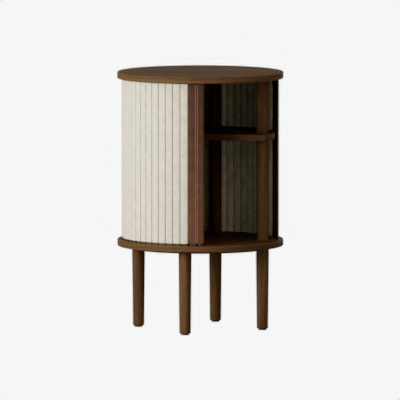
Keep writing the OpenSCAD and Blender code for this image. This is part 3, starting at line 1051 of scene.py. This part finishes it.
class FinishWood(bpy.types.Operator):
    """Stained oak on the plates, the shelf, the legs and the posts, with painted shade on the shelf and
    the base plate, and dark paint with painted shade below
    """

    bl_idname = "bedside.wood"
    bl_label = "Wood"

    def execute(self, context):
        look = context.scene.table_wood
        for board, brightness in BOARD_PAINTED_SHADE.items():
            paint([board], board_wood(look, board, brightness))
        paint(LEGS + POSTS, turned_wood(look))
        paint(["under_plate"], dark_paint_and_shade())
        return {"FINISHED"}


class FinishHardware(bpy.types.Operator):
    """Glides, threaded inserts and studs"""

    bl_idname = "bedside.hardware"
    bl_label = "Hardware"

    def execute(self, context):
        paint(GLIDES, glide_plastic())
        paint(INSERTS, brass())
        paint(STUDS, zinc_plate())
        return {"FINISHED"}


class FinishSlats(bpy.types.Operator):
    """Dark wood of the slats, which shows below the hem as painted shade"""

    bl_idname = "bedside.slats"
    bl_label = "Slats"

    def execute(self, context):
        paint(SLATS, slat_wood(context.scene.table_wood))
        return {"FINISHED"}


class MakeCloth(bpy.types.Operator):
    """Ribbed cloth round the outside of the curtain"""

    bl_idname = "bedside.cloth"
    bl_label = "Cloth"

    def execute(self, context):
        look = context.scene.table_curtain
        at = curtain_sizes(look)
        material = woven("Outer cloth", look, look.light_yarn, look.dark_yarn, sheen=0.15,
                         slat_width=at["pitch"] * at["outer"])
        cloth = ribbed_sheet("tambour_cloth", look, at, material, radius=at["outer"], side=1.0,
                             first=0.0, last=float(look.slats), low=at["low"],
                             crown=look.crown, draw=look.draw, seed=1.0)
        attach(cloth, "curtain")
        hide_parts("curtain_cloth")
        flat_width = look.slats * drawn_length(look, at, at["outer"], look.crown, look.draw)
        return {"FINISHED"}


class MakeLining(bpy.types.Operator):
    """Ribbed lining on the inside of the curtain, up to the leather's flaps"""

    bl_idname = "bedside.lining"
    bl_label = "Lining"

    def execute(self, context):
        look = context.scene.table_curtain
        leather = context.scene.table_leather
        at = curtain_sizes(look)
        front_edge, front_end = leather_ends_at(at)["leather_front"]
        flap_beyond = leather.flap - abs(front_end - front_edge) * at["outer"]
        covered = flap_beyond / at["inner"] / at["pitch"]
        material = woven("Lining", look, look.lining_light, look.lining_dark, sheen=0.1,
                         slat_width=at["pitch"] * at["inner"], back=look.painted_gap_shade)
        foot = heights("curtain_lining")[0]
        lining = ribbed_sheet("tambour_lining", look, at, material, radius=at["inner"],
                              side=-1.0, first=covered, last=look.slats - covered, low=foot,
                              crown=look.lining_crown, draw=look.lining_draw, seed=5.0)
        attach(lining, "curtain")
        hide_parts("curtain_lining")
        return {"FINISHED"}


class MakeLeather(bpy.types.Operator):
    """Leather folded round both ends of the curtain"""

    bl_idname = "bedside.leather"
    bl_label = "Leather ends"

    def execute(self, context):
        look = context.scene.table_leather
        curtain = context.scene.table_curtain
        at = curtain_sizes(curtain)
        material = hide(look, at["low"], at["high"])
        for name, (edge_angle, end_angle) in leather_ends_at(at).items():
            end = leather_end(name, look, curtain, at, edge_angle, end_angle, material)
            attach(end, "curtain")
            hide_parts(name.replace("leather_", "leather_end_"))
        return {"FINISHED"}


class MakeStitches(bpy.types.Operator):
    """Two rows of stitches down each leather end"""

    bl_idname = "bedside.stitches"
    bl_label = "Stitches"

    def execute(self, context):
        look = context.scene.table_leather
        at = curtain_sizes(context.scene.table_curtain)
        lines = welt_lines(look, at, leather_ends_at(at).values())
        values = {"Pitch": look.stitch_pitch, "Length": look.stitch_length,
                  "Thread": look.thread, "Material": thread(look)}
        stitches = smooth(grow("leather_stitches", stitch_tree(), values, lines))
        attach(stitches, "curtain")
        return {"FINISHED"}


OPERATORS = [MakeStudio, FinishWood, FinishHardware, FinishSlats, MakeCloth, MakeLining,
             MakeLeather, MakeStitches]


class BedsideTablePanel(bpy.types.Panel):
    """Lists the pieces and their sizes and colours"""

    bl_idname = "VIEW3D_PT_bedside_table"
    bl_label = "Bedside Table"
    bl_space_type = "VIEW_3D"
    bl_region_type = "UI"
    bl_category = "Bedside Table"

    def draw(self, context):
        for operator in OPERATORS:
            self.layout.operator(operator.bl_idname)
        for group in PROPERTY_GROUPS:
            box = self.layout.box()
            settings = getattr(context.scene, group)
            for name in settings.__annotations__:
                box.prop(settings, name)


CLASSES = [*PROPERTY_GROUPS.values(), *OPERATORS, BedsideTablePanel]


def register():
    for cls in CLASSES:
        bpy.utils.register_class(cls)
    for name, cls in PROPERTY_GROUPS.items():
        setattr(bpy.types.Scene, name, PointerProperty(type=cls))


def unregister():
    for name in PROPERTY_GROUPS:
        delattr(bpy.types.Scene, name)
    for cls in reversed(CLASSES):
        bpy.utils.unregister_class(cls)


def main():
    register()
    for operator in OPERATORS:
        getattr(bpy.ops.bedside, operator.bl_idname.split(".")[1])()


if __name__ == "__main__":
    main()
